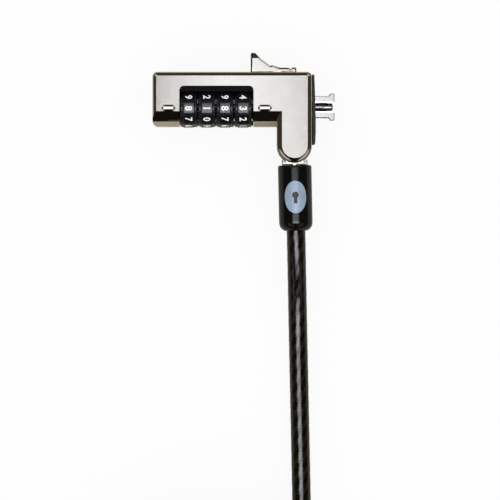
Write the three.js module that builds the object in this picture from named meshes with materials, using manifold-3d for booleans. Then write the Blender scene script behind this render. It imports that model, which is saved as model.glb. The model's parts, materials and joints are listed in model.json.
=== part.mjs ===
// Combination laptop cable lock: a slim cast head with four number wheels, a thumb lever that
// draws a locking pin back from between two T hooks, a pivoting and swivelling cable anchor,
// and a 1.6 m steel cable wound into a coil, with a crimped eye on its end.
//
// Frame, in millimetres: the head lies on its back cover, whose flat face is z = 0, and +Z comes
// out of the face with the numbers. +X points at the laptop's slot, +Y at the thumb lever. The
// origin is where the wheels' axis (y = 0) crosses the middle of the leg (x = 0).
import * as THREE from "three";
import { mergeVertices } from "three/addons/utils/BufferGeometryUtils.js";
import Module from "manifold-3d";

const wasm = await Module();
wasm.setup();

// ---- Driving dimensions ----

const THICKNESS = 12.5;
const COVER = 1.0;
const SEAM = 0.1;
const WALL = 1.15;

// The face ends in a crease; from there the rim falls away along part of an ellipse.
const RIM_REACH = 2.33;
const RIM_DEPTH = 1.2;
const RIM_START = THREE.MathUtils.degToRad(32);
const RIM_STEPS = 7;

// The leg's rim is wider than the bar's, and widest on the side that faces the bar.
const LEG_RIM = 1.24;
const LEG_RIM_SHIFT = 0.11;

const BAR_LEFT = -41.2;
const BAR_TOP = 10.3;
const LEG_HALF = 5.08;
const PIVOT_Y = -11.1;
const CORNER = 1.4;

const WHEEL_AXIS_Z = 7.3;
const NOSE_HEIGHT = THICKNESS - WHEEL_AXIS_Z;
const NOSE_REACH = 5.4;
const ROLL_START = Math.acos(-1.1 / NOSE_REACH);
const WHEEL_X = [-30.7, -25.43, -20.16, -14.89];
const WHEEL_HALF = 2.54;
const WHEEL_RADIUS = 5.85;
const SHOULDER_RADIUS = 5.4;
const BAND_HALF = 1.6;
const WHEEL_BORE = 3.5;
const HUB_RADIUS = 3.3;
const HUB_HALF = 2.3;
const DIGITS = 10;
const READING_TILT = THREE.MathUtils.degToRad(3);
const GATE_HALF = 0.6;

const WINDOW_LEFT = -33.4;
const WINDOW_RIGHT = -11.87;
const WINDOW_TOP = 6.26;
const WINDOW_BACK = 2.4;

const SPINDLE_RADIUS = 1.3;
const PIN_RADIUS = 1.05;
const PIN_TIP = 11.4;
const LEVER_FRONT = 10.9;
const LEVER_CHAMFER = [0.45, 0.24];

const HOOK_AXIS_Y = 0.2;
const HOOK_LOW = 5.9;
const HOOK_HIGH = 8.7;
const HOOK_PIVOT = [1.9, 2.75];
const HOOK_EYE = 1.2;

const CABLE_AXIS_Z = 6.1;
const CABLE_RADIUS = 2.7;
const CABLE_LEAN = THREE.MathUtils.degToRad(1.2);
const SLEEVE_RADIUS = 4.9;
const SLEEVE_TOP = 5.6;
const SLEEVE_END = 24.7;

const COIL_CENTRE = [-29.5, -153.6];
const COIL_INNER = 18.7;
const COIL_OUTER = 34.9;
const COIL_BOTTOM = 0.8;
const COIL_TOP = 17.0;
const TOP_TURN_Z = 20.3;

// ---- Materials ----

function paint(color, roughness, metalness) {
  return new THREE.MeshStandardMaterial({ color, roughness, metalness });
}

const NICKEL = () => paint(0xc9c4bc, 0.12, 1);
const STEEL = () => paint(0xd8d8da, 0.2, 1);
const DARK_STEEL = () => paint(0x3a3836, 0.25, 1);
const BLACK_PLASTIC = () => paint(0x101012, 0.25, 0);
const MATTE_RUBBER = () => paint(0x232324, 0.75, 0);
const BRASS = () => paint(0xb8954a, 0.35, 1);
const JACKET = () => paint(0x1b1a1c, 0.15, 0);
const STRAP = () => paint(0x18181a, 0.9, 0);

// ---- Solids ----

function solidOf(geometry) {
  const closed = geometry.clone();
  closed.deleteAttribute("normal");
  closed.deleteAttribute("uv");
  const merged = mergeVertices(closed, 1e-4);
  return new wasm.Manifold(
    new wasm.Mesh({
      numProp: 3,
      vertProperties: merged.attributes.position.array,
      triVerts: new Uint32Array(merged.index.array),
    }),
  );
}

function geometryOf(solid) {
  const made = solid.getMesh();
  const geometry = new THREE.BufferGeometry();
  geometry.setAttribute("position", new THREE.BufferAttribute(made.vertProperties, 3));
  geometry.setIndex(new THREE.BufferAttribute(made.triVerts, 1));
  return geometry;
}

function node(name, shape, material) {
  const geometry = shape.isBufferGeometry ? shape : geometryOf(shape);
  const mesh = new THREE.Mesh(geometry, material);
  mesh.name = name;
  return mesh;
}

function block(x0, x1, y0, y1, z0, z1) {
  const geometry = new THREE.BoxGeometry(x1 - x0, y1 - y0, z1 - z0);
  geometry.translate((x0 + x1) / 2, (y0 + y1) / 2, (z0 + z1) / 2);
  return solidOf(geometry);
}

// A solid of revolution from [radius, height] points, its axis turned to lie along x, y or z.
function turned(points, axis, at, sides = 24, startAngle = 0) {
  const profile = points.map(([r, h]) => new THREE.Vector2(r, h));
  const geometry = new THREE.LatheGeometry(profile, sides, startAngle);
  if (axis === "x") geometry.rotateZ(-Math.PI / 2);
  if (axis === "z") geometry.rotateX(Math.PI / 2);
  geometry.translate(...at);
  return solidOf(geometry);
}

// A plain round bar along an axis; the place given is a point on that axis.
function rod(axis, radius, from, to, at, sides = 24) {
  const points = [
    [0, from],
    [radius, from],
    [radius, to],
    [0, to],
  ];
  return turned(points, axis, at, sides);
}

function outline(points) {
  return new THREE.Shape(points.map(([x, y]) => new THREE.Vector2(x, y)));
}

// A plate in the XY plane between two heights.
function plate(shape, z0, z1, curveSegments = 12) {
  const settings = { depth: z1 - z0, bevelEnabled: false, curveSegments };
  const geometry = new THREE.ExtrudeGeometry(shape, settings);
  geometry.translate(0, 0, z0);
  return solidOf(geometry);
}

// The points of an anticlockwise outline, moved inwards by a distance.
function insetPoints(points, distance) {
  const count = points.length;
  const corners = points.map(([x, y]) => new THREE.Vector2(x, y));
  return corners.map((corner, i) => {
    const before = corner.clone().sub(corners[(i + count - 1) % count]).normalize();
    const after = corners[(i + 1) % count].clone().sub(corner).normalize();
    const scale = distance / (1 + before.dot(after));
    return [corner.x - (before.y + after.y) * scale, corner.y + (before.x + after.x) * scale];
  });
}

// A plate whose front and back edges are cut off at a slant. Its points run anticlockwise.
function chamferedPlate(points, z0, z1, [width, depth]) {
  const count = points.length;
  const inner = insetPoints(points, width);
  const rings = [
    [inner, z0],
    [points, z0 + depth],
    [points, z1 - depth],
    [inner, z1],
  ];
  const positions = rings.flatMap(([ring, z]) => ring.flatMap(([x, y]) => [x, y, z]));
  const faces = [];
  const front = (rings.length - 1) * count;
  for (let start = 0; start < front; start += count) {
    for (let i = 0; i < count; i += 1) {
      const a = start + i;
      const b = start + ((i + 1) % count);
      faces.push(a, b, b + count, a, b + count, a + count);
    }
  }
  const corners = inner.map(([x, y]) => new THREE.Vector2(x, y));
  for (const [a, b, c] of THREE.ShapeUtils.triangulateShape(corners, [])) {
    faces.push(a, c, b, front + a, front + b, front + c);
  }
  const vertProperties = new Float32Array(positions);
  const triVerts = new Uint32Array(faces);
  return new wasm.Manifold(new wasm.Mesh({ numProp: 3, vertProperties, triVerts }));
}

// A prism along X whose section is drawn in Y and Z.
function bar(shape, x0, x1, curveSegments = 12) {
  const settings = { depth: x1 - x0, bevelEnabled: false, curveSegments };
  const geometry = new THREE.ExtrudeGeometry(shape, settings);
  geometry.rotateY(Math.PI / 2);
  geometry.rotateX(Math.PI / 2);
  geometry.translate(x0, 0, 0);
  return solidOf(geometry);
}

function atHeight(shape, z, divisions = 12) {
  return shape.getPoints(divisions).map((p) => [p.x, p.y, z]);
}

// A plate whose front edge falls away all round. outlineAt gives its outline at an inset, and
// has to be convex.
function rimmed(outlineAt, z0, z1) {
  const points = atHeight(outlineAt(0), z0);
  for (let i = 0; i <= RIM_STEPS; i += 1) {
    const t = RIM_START + ((Math.PI / 2 - RIM_START) * i) / RIM_STEPS;
    const inset = RIM_REACH * (1 - Math.sin(t));
    const drop = RIM_DEPTH * (Math.cos(RIM_START) - Math.cos(t));
    points.push(...atHeight(outlineAt(inset), z1 - drop));
  }
  return wasm.Manifold.hull(points);
}

function roundCorner(shape, x, y, radius, from) {
  if (radius) shape.absarc(x, y, radius, from, from + Math.PI / 2, false);
}

function roundedBox(x0, x1, y0, y1, radii) {
  const [bottomLeft, bottomRight, topRight, topLeft] = radii;
  const shape = new THREE.Shape();
  shape.moveTo(x0 + bottomLeft, y0);
  shape.lineTo(x1 - bottomRight, y0);
  roundCorner(shape, x1 - bottomRight, y0 + bottomRight, bottomRight, -Math.PI / 2);
  shape.lineTo(x1, y1 - topRight);
  roundCorner(shape, x1 - topRight, y1 - topRight, topRight, 0);
  shape.lineTo(x0 + topLeft, y1);
  roundCorner(shape, x0 + topLeft, y1 - topLeft, topLeft, Math.PI / 2);
  shape.lineTo(x0, y0 + bottomLeft);
  roundCorner(shape, x0 + bottomLeft, y0 + bottomLeft, bottomLeft, Math.PI);
  return shape;
}

// A slot-shaped outline along X, with round ends.
function stadium(x0, x1, y, half) {
  return roundedBox(x0, x1, y - half, y + half, [half, half, half, half]);
}

// The leg: straight sides, a half round end about the pivot, and one rounded top corner.
function legOutline(inset = 0) {
  const half = LEG_HALF - LEG_RIM * inset;
  const x = LEG_RIM_SHIFT * inset;
  const y = PIVOT_Y + LEG_RIM_SHIFT * inset;
  const corner = CORNER - inset;
  const top = BAR_TOP - inset;
  const shape = new THREE.Shape();
  shape.moveTo(x + half, y);
  shape.lineTo(x + half, top - corner);
  roundCorner(shape, x + half - corner, top - corner, corner, 0);
  shape.lineTo(x - half, top);
  shape.lineTo(x - half, y);
  shape.absarc(x, y, half, Math.PI, 2 * Math.PI, false);
  return shape;
}

// The bar: rounded at its far end, and running on into the leg.
function barOutline(inset = 0) {
  const corner = CORNER - inset;
  const bottom = -NOSE_REACH + inset;
  return roundedBox(BAR_LEFT + inset, 2, bottom, BAR_TOP - inset, [corner, 0, 0, corner]);
}

// The bar's section: flat in front as far as a crease, then rolled about the wheels' axis.
function noseSection(inset, top, back) {
  const height = NOSE_HEIGHT - inset;
  const reach = NOSE_REACH - inset;
  const shape = new THREE.Shape();
  shape.moveTo(-reach, back);
  shape.lineTo(top, back);
  shape.lineTo(top, WHEEL_AXIS_Z + height);
  const rise = height / Math.sin(ROLL_START);
  shape.absellipse(0, WHEEL_AXIS_Z, reach, rise, ROLL_START, Math.PI, false);
  return shape;
}

// A tube of the cable's thickness along a list of points.
function tube(points, steps, radius = CABLE_RADIUS) {
  const sides = 10;
  const section = [];
  for (let i = 0; i < sides; i += 1) {
    const a = (2 * Math.PI * i) / sides;
    section.push([radius * Math.cos(a), radius * Math.sin(a)]);
  }
  const path = new THREE.CatmullRomCurve3(
    points.map((p) => new THREE.Vector3(...p)),
    false,
    "centripetal",
  );
  return solidOf(new THREE.ExtrudeGeometry(outline(section), { steps, extrudePath: path }));
}

// ---- Head: casing ----

// Each screw's place, and the top of the post that it goes into. The third goes into solid web.
const SCREW_PLACES = [
  [-38.4, -3.0, 10.2],
  [-38.3, 8.0, 11.5],
  [0.0, -6.1, 5.6],
  [2.6, 8.0, 11.5],
];
const RESET_AT = [4.6, WHEEL_AXIS_Z];

// A raised pill with sloping sides; its top leans slightly towards the numbers' near edge.
function indexPill(x) {
  const y = -0.2;
  const foot = atHeight(stadium(x - 2, x + 2, y, 0.95), THICKNESS - 0.3, 6);
  const crown = atHeight(stadium(x - 1.3, x + 1.3, y, 0.25), THICKNESS + 0.32, 6);
  const base = foot.map(([px, py]) => [px, py, THICKNESS]);
  const top = crown.map(([px, py, pz]) => [px, py, pz + 0.03 * (py - y)]);
  return wasm.Manifold.hull([...foot, ...base, ...top]);
}

function casingBody() {
  const back = COVER + SEAM;
  const nose = bar(noseSection(0, BAR_TOP + 1, back), BAR_LEFT - 1, 0);
  const barPart = rimmed(barOutline, back, THICKNESS).intersect(nose);
  const legPart = rimmed(legOutline, back, THICKNESS);
  return barPart.add(legPart).add(indexPill(-36.57)).add(indexPill(-8.6));
}

function casingHollow() {
  const inner = bar(noseSection(WALL, BAR_TOP - WALL, 0), BAR_LEFT + WALL, LEG_HALF - WALL);
  const clevis = block(-3.95, 3.95, -17, -7.9, 0, 11);
  const leftMouth = block(-6, -3.9, -17, -9.9, 0, 11);
  const rightMouth = block(3.9, 6, -17, -11.4, 0, 11);
  return inner.add(clevis).add(leftMouth).add(rightMouth);
}

function casingOpenings() {
  const windowShape = roundedBox(WINDOW_LEFT, WINDOW_RIGHT, -7, WINDOW_TOP, [0, 0, 1.3, 1.3]);
  const window = plate(windowShape, WINDOW_BACK, THICKNESS + 1, 6);
  const leverSlot = block(-11.2, -2.8, BAR_TOP - WALL - 1, BAR_TOP + 1, 5, 9);
  const slotHalf = 3.45;
  const slotLow = HOOK_AXIS_Y - slotHalf;
  const slotHigh = HOOK_AXIS_Y + slotHalf;
  const hookSlot = block(3.5, 6, slotLow, slotHigh, HOOK_LOW - 0.25, HOOK_HIGH + 0.25);
  const resetHole = rod("x", 1.75, -43, -39, [0, ...RESET_AT]);
  const pivotSocket = rod("z", 1.62, 10.5, 11.8, [0, PIVOT_Y, 0]);
  return window.add(leverSlot).add(hookSlot).add(resetHole).add(pivotSocket);
}

function housingFront() {
  let shell = casingBody().subtract(casingHollow());
  for (const [x, y, top] of SCREW_PLACES) {
    shell = shell.add(rod("z", 1.1, COVER + SEAM, top, [x, y, 0], 16));
    shell = shell.subtract(rod("z", 0.68, 0, 5.6, [x, y, 0], 12));
  }
  return shell.subtract(casingOpenings());
}

function backCover() {
  let cover = plate(barOutline(), 0, COVER, 6).add(plate(legOutline(), 0, COVER, 12));
  for (const [x, y] of SCREW_PLACES) {
    cover = cover.subtract(rod("z", 1.15, -0.5, 0.65, [x, y, 0], 16));
    cover = cover.subtract(rod("z", 0.68, 0.2, 1.5, [x, y, 0], 12));
  }
  return cover.subtract(rod("z", 1.62, -1, 2, [0, PIVOT_Y, 0]));
}

function coverScrew([x, y]) {
  const profile = [
    [0, 0.08],
    [1.05, 0.08],
    [1.05, 0.55],
    [0.58, 0.58],
    [0.58, 5.2],
    [0, 5.4],
  ];
  const drive = plate(outline(starPoints(0.55, 0.38, 6)), 0, 0.35);
  return turned(profile, "z", [0, 0, 0], 12).subtract(drive).translate([x, y, 0]);
}

function starPoints(outer, inner, tips) {
  const points = [];
  for (let i = 0; i < 2 * tips; i += 1) {
    const r = i % 2 ? inner : outer;
    const a = (Math.PI * i) / tips;
    points.push([r * Math.cos(a), r * Math.sin(a)]);
  }
  return points;
}

function nosePad() {
  const section = outline([
    [5.18, -10.7],
    [5.9, -10.7],
    [6.05, -10.5],
    [6.2, -7.5],
    [6.2, -3.5],
    [6.05, 2.5],
    [5.8, 9.4],
    [5.65, 9.6],
    [5.18, 9.6],
  ]);
  const holeLow = HOOK_AXIS_Y - 3.6;
  const holeHigh = HOOK_AXIS_Y + 3.6;
  const hole = block(4, 8, holeLow, holeHigh, HOOK_LOW - 0.35, HOOK_HIGH + 0.35);
  return plate(section, 1.8, 10.9).subtract(hole);
}

// ---- Head: wheels and their frame ----

// Two end plates, a strip and a hood above the wheels, a tray behind them and a lip below.
function wheelFrame() {
  const round = 3.9;
  const top = WHEEL_AXIS_Z + round;
  const foot = COVER + SEAM + 0.1;
  const endSection = new THREE.Shape();
  endSection.moveTo(-round, foot);
  endSection.lineTo(8.9, foot);
  endSection.lineTo(8.9, 9.0);
  endSection.lineTo(6.9, top);
  endSection.lineTo(0, top);
  endSection.absarc(0, WHEEL_AXIS_Z, round, Math.PI / 2, Math.PI, false);
  const left = bar(endSection, -34.7, -33.5, 6);
  const spring = block(-13, -10, 6.9, 9.5, 0, 9.2);
  const right = bar(endSection, -12.2, -11.2, 6).subtract(spring);
  const strip = block(-34.0, -11.8, 6.1, 6.9, 8.7, top);
  const hoodOutline = roundedBox(-33.2, -12.05, 4.6, 6.15, [0, 0, 1.2, 1.2]);
  const hood = plate(hoodOutline, top - 0.1, top + 0.5, 6);
  const tray = block(-34.0, -11.8, -3.0, 7.5, foot, foot + 0.15);
  const ledge = block(-34.0, -11.8, -3.97, -3.75, WINDOW_BACK + 0.05, WINDOW_BACK + 0.3);
  const lip = block(-33.3, -11.97, -5.1, -3.75, WINDOW_BACK + 0.05, WINDOW_BACK + 0.3);
  const bore = rod("x", SPINDLE_RADIUS + 0.15, -36, -10, [0, 0, WHEEL_AXIS_Z]);
  const keyway = block(-36, -10, 0, 2.75, WHEEL_AXIS_Z - 0.65, WHEEL_AXIS_Z + 0.65);
  const frame = left.add(right).add(strip).add(hood).add(tray).add(ledge).add(lip);
  return frame.subtract(bore).subtract(keyway);
}

// Ten flat facets carry the numbers on a raised band between two lower shoulders.
function numberWheel(x) {
  const bandEdge = BAND_HALF + 0.15;
  const profile = [
    [WHEEL_BORE, -WHEEL_HALF],
    [SHOULDER_RADIUS - 0.35, -WHEEL_HALF],
    [SHOULDER_RADIUS, -WHEEL_HALF + 0.35],
    [SHOULDER_RADIUS, -bandEdge],
    [WHEEL_RADIUS, -BAND_HALF],
    [WHEEL_RADIUS, BAND_HALF],
    [SHOULDER_RADIUS, bandEdge],
    [SHOULDER_RADIUS, WHEEL_HALF - 0.35],
    [SHOULDER_RADIUS - 0.35, WHEEL_HALF],
    [WHEEL_BORE, WHEEL_HALF],
    [WHEEL_BORE, -WHEEL_HALF],
  ];
  const start = Math.PI / DIGITS + READING_TILT;
  return turned(profile, "x", [x, 0, WHEEL_AXIS_Z], DIGITS, start);
}

// The hub turns with its wheel. A thin gate wall crosses its bore, open along two keyways.
function clutchHub(x) {
  const pocket = 2.65;
  const outer = [
    [0, -HUB_HALF],
    [HUB_RADIUS, -HUB_HALF],
    [HUB_RADIUS, HUB_HALF],
    [0, HUB_HALF],
  ];
  const start = Math.PI / DIGITS + READING_TILT;
  let hub = turned(outer, "x", [0, 0, 0], DIGITS, start);
  hub = hub.subtract(rod("x", pocket, -HUB_HALF - 1, -GATE_HALF, [0, 0, 0], 20));
  hub = hub.subtract(rod("x", pocket, GATE_HALF, HUB_HALF + 1, [0, 0, 0], 20));
  hub = hub.subtract(rod("x", SPINDLE_RADIUS + 0.15, -HUB_HALF, HUB_HALF, [0, 0, 0]));
  hub = hub.subtract(block(-1, 1, -2.6, 2.6, -0.65, 0.65));
  return hub.translate([x, 0, WHEEL_AXIS_Z]);
}

// A comb of four spring fingers lies behind the wheels and clicks from number to number.
function detentSpring() {
  const fingerHalf = 1.3;
  const points = [
    [-33.2, 2.6],
    [-33.2, 1.9],
  ];
  for (const x of WHEEL_X) {
    points.push([x - fingerHalf, 1.9], [x - fingerHalf, -1.9]);
    points.push([x + fingerHalf, -1.9], [x + fingerHalf, 1.9]);
  }
  points.push([-12.4, 1.9], [-12.4, 2.6]);
  const settings = { depth: 0.25, bevelEnabled: false };
  const geometry = new THREE.ExtrudeGeometry(outline(points), settings);
  geometry.translate(0, 0, -6.2);
  geometry.rotateX(Math.PI / 4);
  geometry.translate(0, 0, WHEEL_AXIS_Z);
  return solidOf(geometry);
}

// ---- Head: lever, spindle, pin and hooks ----

function spindle() {
  let shaft = rod("x", SPINDLE_RADIUS, -34.8, -4.3, [0, 0, 0], 16);
  for (const x of WHEEL_X) {
    shaft = shaft.add(block(x + 0.8, x + 4.47, 0, 2.35, -0.5, 0.5));
  }
  return shaft.translate([0, 0, WHEEL_AXIS_Z]);
}

function carriage() {
  const foot = block(-6.3, -1.5, -2.6, 8.9, 4.4, 9.6);
  const neck = block(-6.3, -3.9, 8.5, 11.0, 5.4, 8.6);
  const spindleBore = rod("x", SPINDLE_RADIUS + 0.1, -7, -4.1, [0, 0, WHEEL_AXIS_Z], 16);
  const pinBore = rod("x", PIN_RADIUS + 0.1, -3.7, -1, [0, HOOK_AXIS_Y, WHEEL_AXIS_Z], 16);
  return foot.add(neck).subtract(spindleBore).subtract(pinBore);
}

function thumbLever() {
  const side = [
    [-12.7, 9.95],
    [0.6, 9.95],
    [0.55, 11.6],
    [-0.6, 11.65],
    [-1.1, 11.15],
    [-1.65, 11.55],
    [-4.2, 11.55],
    [-6.4, 12.3],
    [-7.0, 12.1],
    [-9.1, 13.65],
    [-9.8, 14.15],
    [-11.3, 15.8],
    [-12.3, 15.95],
    [-12.7, 15.6],
  ];
  const socket = block(-6.4, -3.8, 9, 11.1, 5.3, 8.7);
  const tipSlope = bar(
    outline([
      [14.15, LEVER_FRONT + 0.1],
      [16.7, LEVER_FRONT + 0.1],
      [16.7, LEVER_FRONT - 1.3],
    ]),
    -14,
    0,
  );
  const clearance = block(-14, 2, 9, 10.45, 2, LEVER_FRONT + 1);
  const body = chamferedPlate(side, 2.6, LEVER_FRONT, LEVER_CHAMFER);
  return body.subtract(clearance).subtract(socket).subtract(tipSlope);
}

function lockingPin() {
  const profile = [
    [0, -3.5],
    [PIN_RADIUS, -3.5],
    [PIN_RADIUS, PIN_TIP - 0.9],
    [0.92, PIN_TIP - 0.45],
    [0.6, PIN_TIP - 0.1],
    [0, PIN_TIP],
  ];
  return turned(profile, "x", [0, HOOK_AXIS_Y, WHEEL_AXIS_Z], 16);
}

// One T hook, drawn above its axis: a pivot eye, a straight shank and an outward flange.
// The groove along its inner side takes the locking pin. The other hook is its mirror image.
function hook(sign) {
  const [px, py] = HOOK_PIVOT;
  const shank = outline([
    [1.9, 1.6],
    [5.4, 1.6],
    [5.5, 1.38],
    [11.35, 1.38],
    [11.7, 1.65],
    [11.7, 3.7],
    [11.4, 3.97],
    [10.6, 3.97],
    [10.3, 3.75],
    [10.0, 3.2],
    [3.6, 3.2],
    [2.9, 3.9],
    [1.9, 3.9],
  ]);
  const eye = rod("z", HOOK_EYE, HOOK_LOW, HOOK_HIGH, [px, py, 0], 20);
  const groove = block(5, 13, 0, 1.6, WHEEL_AXIS_Z - 1.12, WHEEL_AXIS_Z + 1.12);
  const pivotHole = rod("z", 0.7, 0, 14, [px, py, 0], 16);
  const upper = plate(shank, HOOK_LOW, HOOK_HIGH).add(eye).subtract(groove).subtract(pivotHole);
  const made = sign > 0 ? upper : upper.mirror([0, 1, 0]);
  return made.translate([0, HOOK_AXIS_Y, 0]);
}

function hookPin(sign) {
  const y = HOOK_AXIS_Y + sign * HOOK_PIVOT[1];
  return rod("z", 0.6, 1.25, 9.6, [HOOK_PIVOT[0], y, 0], 12);
}

function helix(x0, x1, radius, wire, coils, y, z) {
  const perCoil = 8;
  const points = [];
  for (let i = 0; i <= coils * perCoil; i += 1) {
    const a = (2 * Math.PI * i) / perCoil;
    const x = x0 + wire + ((x1 - x0 - 2 * wire) * i) / (coils * perCoil);
    points.push(new THREE.Vector3(x, y + radius * Math.cos(a), z + radius * Math.sin(a)));
  }
  const path = new THREE.CatmullRomCurve3(points, false, "centripetal");
  const section = outline(starPoints(wire, wire, 3));
  const settings = { steps: coils * perCoil, extrudePath: path };
  return solidOf(new THREE.ExtrudeGeometry(section, settings));
}

function resetScrew() {
  const profile = [
    [0, -40.85],
    [1.6, -40.85],
    [1.6, -37.2],
    [1.1, -37.2],
    [1.1, -35.4],
    [0, -35.4],
  ];
  const slot = block(-42, -40.2, -2, 2, -0.3, 0.3);
  return turned(profile, "x", [0, 0, 0], 20).subtract(slot).translate([0, ...RESET_AT]);
}

// ---- Cable anchor, drawn hanging straight down from the pivot at (0, 0) ----

function anchorBlock() {
  const tongue = block(-2.8, 2.8, -15.4 - PIVOT_Y, 0, 1.4, 10.7);
  const head = rod("z", 2.8, 1.4, 10.7, [0, 0, 0], 28);
  const legClearance = rod("z", LEG_HALF + 0.37, 0, 12, [0, 0, 0], 48);
  const wide = block(-3.7, 3.7, -5.45, -2.4, 1.4, 10.7).subtract(legClearance);
  const pivotHole = rod("z", 1.6, 0, 12, [0, 0, 0]);
  const shankHole = rod("y", 1.5, -6, -3.9, [0, 0, CABLE_AXIS_Z]);
  const headHole = rod("y", 2.2, -4.1, -2.6, [0, 0, CABLE_AXIS_Z]);
  const foot = block(-2.8, 2.8, -5.45, -4, 1.4, 10.7);
  let made = tongue.add(head).add(wide).add(foot);
  made = made.subtract(pivotHole).subtract(shankHole).subtract(headHole);
  return made;
}

function pivotPin() {
  return turned(
    [
      [0, 0.12],
      [1.35, 0.12],
      [1.5, 0.3],
      [1.5, 11.6],
      [0, 11.6],
    ],
    "z",
    [0, 0, 0],
  );
}

// The swivel stem: a head held in the anchor block, a shank, and a barrel crimped on the cable.
function swivelStem() {
  const profile = [
    [0, -2.8],
    [2.0, -2.8],
    [2.0, -3.8],
    [1.35, -3.8],
    [1.35, -7.2],
    [3.7, -7.2],
    [3.7, -18.4],
    [2.35, -18.4],
    [2.35, -8.6],
    [0, -8.6],
  ];
  return turned(profile.reverse(), "y", [0, 0, CABLE_AXIS_Z], 20);
}

function cableSleeve() {
  const profile = [
    [1.6, -SLEEVE_TOP],
    [4.5, -SLEEVE_TOP],
    [SLEEVE_RADIUS, -SLEEVE_TOP - 0.4],
    [SLEEVE_RADIUS, -SLEEVE_END + 2.3],
    [4.6, -SLEEVE_END + 1.1],
    [3.9, -SLEEVE_END + 0.3],
    [3.3, -SLEEVE_END],
    [2.95, -SLEEVE_END],
    [2.95, -19.0],
    [3.95, -19.0],
    [3.95, -6.9],
    [1.6, -6.9],
    [1.6, -SLEEVE_TOP],
  ];
  return turned(profile.reverse(), "y", [0, 0, CABLE_AXIS_Z], 32);
}

function cableCore() {
  return rod("y", 2.1, -19.2, -8.9, [0, 0, CABLE_AXIS_Z], 12);
}

// ---- Cable ----

// A point on the line that the anchor hangs along, at a distance below the pivot.
function alongAnchor(distance, z) {
  const x = distance * Math.sin(CABLE_LEAN);
  return [x, PIVOT_Y - distance * Math.cos(CABLE_LEAN), z];
}

const RUN_POINTS = [
  alongAnchor(19.5, CABLE_AXIS_Z),
  alongAnchor(24.4, CABLE_AXIS_Z),
  alongAnchor(29, 6.0),
  alongAnchor(36, 5.2),
  alongAnchor(45, 3.7),
  alongAnchor(54, 2.9),
  alongAnchor(66, 2.8),
  alongAnchor(80, 2.8),
  alongAnchor(92, 2.8),
  alongAnchor(103, 2.8),
  alongAnchor(113, 3.1),
  alongAnchor(122.5, 3.5),
];

const [CX, CY] = COIL_CENTRE;

// The last part turn lies on top of the coil and bends in towards the crimp.
const TAIL_POINTS = [
  [CX + 6.0, CY - 21.0, TOP_TURN_Z],
  [CX - 1.5, CY - 23.4, TOP_TURN_Z],
  [CX - 10.5, CY - 23.6, TOP_TURN_Z],
  [CX - 19.5, CY - 19.6, TOP_TURN_Z],
  [CX - 26.3, CY - 13.0, TOP_TURN_Z],
  [CX - 30.6, CY - 4.6, TOP_TURN_Z],
  [CX - 31.2, CY + 4.6, TOP_TURN_Z],
  [CX - 27.9, CY + 13.1, TOP_TURN_Z],
  [CX - 21.4, CY + 19.2, TOP_TURN_Z],
  [CX - 13.2, CY + 21.9, TOP_TURN_Z],
  [CX - 10.2, CY + 22.0, TOP_TURN_Z],
];

const CRIMP_START = CX - 9.9;
const CRIMP_LENGTH = 12;
const CRIMP_Y = CY + 19;

// Half of the eye, from the crimp to its tip, as [distance from the crimp, distance off its line].
const EYE_HALF = [
  [0.3, 3.0],
  [2.4, 3.1],
  [5.2, 4.4],
  [9.5, 7.6],
  [14.5, 11.0],
  [20.0, 12.8],
  [26.0, 11.6],
  [31.0, 7.2],
];

function eyePoints() {
  const tip = [33.2, 0];
  const back = [...EYE_HALF].reverse().map(([u, v]) => [u, -v]);
  const start = CRIMP_START + CRIMP_LENGTH;
  const all = [...EYE_HALF, tip, ...back];
  return all.map(([u, v]) => [start + u, CRIMP_Y + v, TOP_TURN_Z]);
}

function cableCoil() {
  const bend = 2.2;
  const profile = [
    [COIL_INNER, COIL_BOTTOM + bend],
    [COIL_INNER + bend, COIL_BOTTOM],
    [COIL_OUTER - bend, COIL_BOTTOM],
    [COIL_OUTER, COIL_BOTTOM + bend],
    [COIL_OUTER, COIL_TOP - bend],
    [COIL_OUTER - bend, COIL_TOP],
    [COIL_INNER + bend, COIL_TOP],
    [COIL_INNER, COIL_TOP - bend],
    [COIL_INNER, COIL_BOTTOM + bend],
  ];
  return turned(profile, "z", [CX, CY, 0], 48);
}

function eyeCrimp() {
  const half = 3.1;
  const section = roundedBox(-half - 3.0, half + 3.0, -half, half, [half, half, half, half]);
  const settings = { depth: CRIMP_LENGTH - 0.3, bevelEnabled: false, curveSegments: 5 };
  const geometry = new THREE.ExtrudeGeometry(section, settings);
  geometry.rotateY(Math.PI / 2);
  geometry.rotateX(Math.PI / 2);
  geometry.translate(CRIMP_START, CRIMP_Y, TOP_TURN_Z);
  return solidOf(geometry);
}

// A strap round the bundle, drawn in a plane that holds the coil's axis.
function coilTie() {
  const inner = outline([
    [COIL_INNER - 0.9, COIL_BOTTOM - 0.15],
    [COIL_OUTER + 0.9, COIL_BOTTOM - 0.15],
    [COIL_OUTER + 0.9, COIL_TOP],
    [33.9, 23.2],
    [23.9, 23.2],
    [COIL_INNER - 0.9, COIL_TOP],
  ]);
  const outer = outline([
    [COIL_INNER - 1.7, COIL_BOTTOM - 0.75],
    [COIL_OUTER + 1.7, COIL_BOTTOM - 0.75],
    [COIL_OUTER + 1.7, COIL_TOP + 0.3],
    [34.3, 24.0],
    [23.5, 24.0],
    [COIL_INNER - 1.7, COIL_TOP + 0.3],
  ]);
  outer.holes.push(inner);
  const geometry = new THREE.ExtrudeGeometry(outer, { depth: 9, bevelEnabled: false });
  geometry.translate(0, 0, -4.5);
  geometry.rotateX(Math.PI / 2);
  geometry.rotateZ(THREE.MathUtils.degToRad(-150));
  geometry.translate(CX, CY, 0);
  return solidOf(geometry);
}

// ---- Assembly ----

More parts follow.
